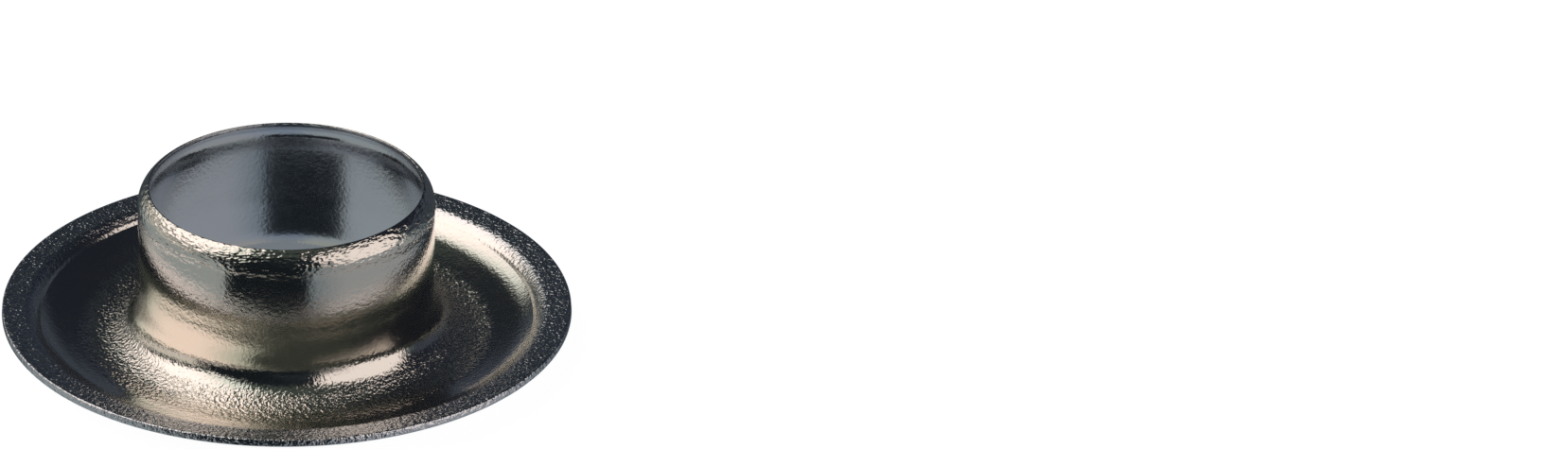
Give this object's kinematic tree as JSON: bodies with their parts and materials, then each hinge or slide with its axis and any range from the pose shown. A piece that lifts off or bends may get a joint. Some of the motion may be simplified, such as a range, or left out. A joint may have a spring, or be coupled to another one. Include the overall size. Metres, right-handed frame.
{
  "type": "grommet eyelet",
  "caption": "Round sheet-metal eyelet: a wide flange with a stepped rim band, drawn up into a short barrel whose mouth curls inwards around an open bore.",
  "frame": {"origin": "on the barrel's axis, in the plane of the crown's underside, on which the eyelet rests", "axes": "+Z along the barrel's axis, from the flange towards the lip; X and Y are free, because the part is turned"},
  "size_m": [0.024, 0.024, 0.0072],
  "materials": {
    "plating": "satin"
  },
  "bodies": {
    "root": {"eyelet": "plating"}
  },
  "joints": []
}
